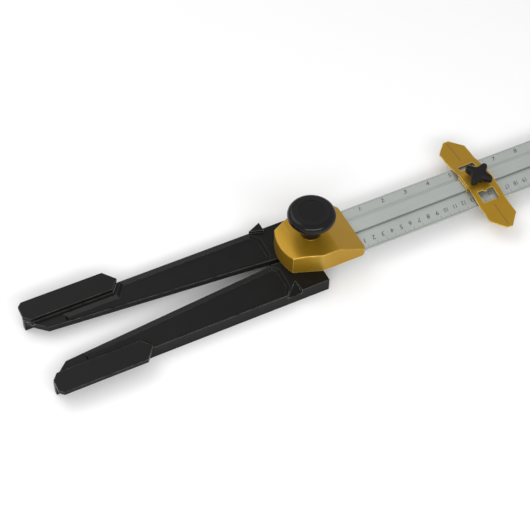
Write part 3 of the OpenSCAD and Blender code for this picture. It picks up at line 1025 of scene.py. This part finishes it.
wing = plate_on_deck(
    "wing", (TIP, WING_INNER, 0), (WING_END, LEG_HIGH.y, LEG_HIGH.z), WING_CUTS)
pick_corners(wing, lambda place: place.z < -0.1 and place.y < WING_INNER + 0.8)
bpy.ops.transform.translate(value=(0, -WING_SLOPE * MM, 0))
for piece in (shell, wing):
    tidy_mesh(piece, 0.2)
    soften(piece, LEG_ROUND, segments=2, angle=22)
combine(shell, wing, "UNION")
tidy_mesh(shell, 0.2)
print("leg with wing", len(shell.data.polygons), "faces")

# %% [markdown]
# The two legs differ only at the hub. Their lugs lap one above the other around the pivot
# sleeve, so each leg is cleared above and below its own lug. The left leg carries a small
# pointed index on its outer edge and the right leg a V-shaped facet in the same place.

# %% Finish each leg at its hub
LUG_RADIUS = 14
LUG_TALL = 2.9
LUG_CLEAR = 0.8
BUSH_RADIUS = 8


def finish_leg(name, lug_z, extra):
    """Copy the shell, clear the lap joint, add the lug and its bore, then one extra piece."""
    begin()
    leg = shell.copy()
    leg.data = shell.data.copy()
    leg.name = name
    bpy.context.scene.collection.objects.link(leg)
    clear = LUG_RADIUS + LUG_CLEAR
    combine(leg, add_round("relief", clear, lug_z - 20, lug_z), "DIFFERENCE")
    combine(leg, add_round("relief", clear, lug_z + LUG_TALL, lug_z + 20), "DIFFERENCE")
    combine(leg, add_round("lug", LUG_RADIUS, lug_z, lug_z + LUG_TALL), "UNION")
    combine(leg, add_round("bore", BUSH_RADIUS, lug_z - 2, lug_z + 5), "DIFFERENCE")
    tool, operation = extra()
    combine(leg, tool, operation)
    return tidy_mesh(leg, 0.2)


def pointed_index():
    """The small arrow head on the left leg's outer edge."""
    return plate_on_deck("index", (-44, 36, 0), (-30.4, 49, 2.2), (
        ((-44, 41.5), (-4.5, -13)), ((-44, 41.5), (-6, 13.6)))), "UNION"


def facet_cutter():
    """What the V-shaped facet takes off the right leg's outer edge."""
    cutter = add_block("cutter", (-46, 28, -9), (-27, 44, 2))
    saw(cutter, (-30, 28.7, LEG_TOP), (0, -67.5, -192))
    saw(cutter, (-30, 28.7, 0), (-12.8, -14, 0))
    saw(cutter, (-30, 28.7, 0), (12.8, -1, 0))
    return cutter, "DIFFERENCE"


left_leg = finish_leg("left_fence_leg", box_mm("left_bush")[0].z, pointed_index)
right_leg = finish_leg("right_fence_leg", box_mm("right_bush")[0].z, facet_cutter)
right_leg.scale = (1, -1, 1)
settle(right_leg)
edit(right_leg)
bpy.ops.mesh.select_all(action="SELECT")
bpy.ops.mesh.normals_make_consistent(inside=False)
begin()
bpy.data.objects.remove(shell)
for leg, body in ((left_leg, "left_leg"), (right_leg, "right_leg")):
    shade(leg, 12)
    hand_over(leg, body, "leg_plastic", LEG_PLASTIC, body)

# %% [markdown]
# ## Scales
# The rule carries centimetres along its near edge and inches along its far edge, both counted
# from the fences. One tick is made for each length of line, and an Array modifier repeats it
# at its pitch. The longer lines only add the missing length, so no two ticks ever lie on top
# of each other. The marks stand a few hundredths of a millimetre proud, as filled engraving.

# %% Rule the ticks
ZERO = fence_face
TICK_WIDE = 0.22
TICK_FOOT = FLANGE - 0.05
TICK_TOP = FLANGE + 0.03


def rule_ticks(name, pitch, first, last, near, far):
    """A row of ticks at ZERO + pitch * n for n from first to last, from y = near to y = far."""
    x = ZERO + pitch * first
    tick = add_block(
        name, (x - TICK_WIDE / 2, near, TICK_FOOT), (x + TICK_WIDE / 2, far, TICK_TOP))
    count = last - first + 1
    press(tick, "ARRAY", count=count, use_relative_offset=False, use_constant_offset=True,
          constant_offset_displace=(pitch * MM, 0, 0))
    hand_over(tick, "holder", "rule_aluminium", SCALE_INK)


INCH = 25.4
rule_ticks("millimetre_ticks", 1, 4, 300, -26.1, -24.0)
rule_ticks("half_centimetre_ticks", 5, 1, 60, -24.0, -22.8)
rule_ticks("centimetre_ticks", 10, 1, 30, -22.8, -21.2)
rule_ticks("sixteenth_ticks", INCH / 16, 3, 192, 24.8, 26.1)
rule_ticks("eighth_ticks", INCH / 8, 2, 96, 24.0, 24.8)
rule_ticks("quarter_ticks", INCH / 4, 1, 48, 23.2, 24.0)
rule_ticks("inch_ticks", INCH, 1, 12, 18.6, 23.2)

# %% [markdown]
# The two rows of figures are turned to opposite edges of the rule. Figures could be drawn line
# by line, but a text object turned into a mesh has clean outlines at once. Numbers of two
# digits are squeezed, so that they take up less of the scale.

# %% Strike the numbers
FIGURE_SLANT = 0.25
FIGURE_PROUD = 0.04
FIGURE_TO_SIZE = 1.38
TWO_DIGIT_SQUEEZE = 0.78


def strike_numbers(name, numbers, pitch, shift, y, tall, turn):
    """Slanted figures along a scale, each centred at ZERO + pitch * n + shift."""
    figures = []
    for number in numbers:
        begin()
        bpy.ops.object.text_add(rotation=(0, 0, turn))
        figure = bpy.context.object
        figure.data.body = str(number)
        figure.data.size = tall * MM * FIGURE_TO_SIZE
        figure.data.shear = FIGURE_SLANT
        figure.data.resolution_u = 2
        figure.data.extrude = FIGURE_PROUD * MM
        figure.data.align_x = "CENTER"
        figure.data.align_y = "CENTER"
        figure.data.space_character = 0.9
        bpy.ops.object.convert(target="MESH")
        figure = bpy.context.object
        squeeze = 1.0 if number < 10 else TWO_DIGIT_SQUEEZE
        figure.scale = (squeeze, 1, 1)
        figure.location = ((ZERO + pitch * number + shift) * MM, y * MM, FLANGE * MM)
        figures.append(settle(figure))
    begin()
    for figure in figures:
        figure.select_set(True)
    bpy.context.view_layer.objects.active = figures[0]
    bpy.ops.object.join()
    figures[0].name = name
    tidy_mesh(figures[0], 0.1)
    hand_over(figures[0], "holder", "rule_aluminium", SCALE_INK)


strike_numbers("centimetre_figures", range(1, 31), 10, -0.2, -16, 5.4, math.pi)
strike_numbers("inch_figures", range(1, 13), INCH, -2.2, 20.6, 5, 0)

# %% [markdown]
# ## Hairlines
# Each tip of the cursor has a fine line down its middle, to aim the cursor by. It is a narrow
# bar laid just into the gold face, sloped along with the tip.

# %% Lay a hairline in each tip
LINE_WIDE = 0.42
LINE_DEEP = 0.1
LINE_PROUD = 0.04
for name, near, far in (("near_hairline", -57.5, -31), ("far_hairline", 32, 58)):
    line = add_block(name, (CURSOR_X - LINE_WIDE / 2, near, -LINE_DEEP),
                     (CURSOR_X + LINE_WIDE / 2, far, LINE_PROUD))
    mesh = edit(line, "VERT")
    for corner in mesh.verts:
        corner.co.z += (strip_height(corner.co.y / MM) + SHEET) * MM
    bmesh.update_edit_mesh(line.data)
    hand_over(line, "cursor", "gold_anodised", SCALE_INK)
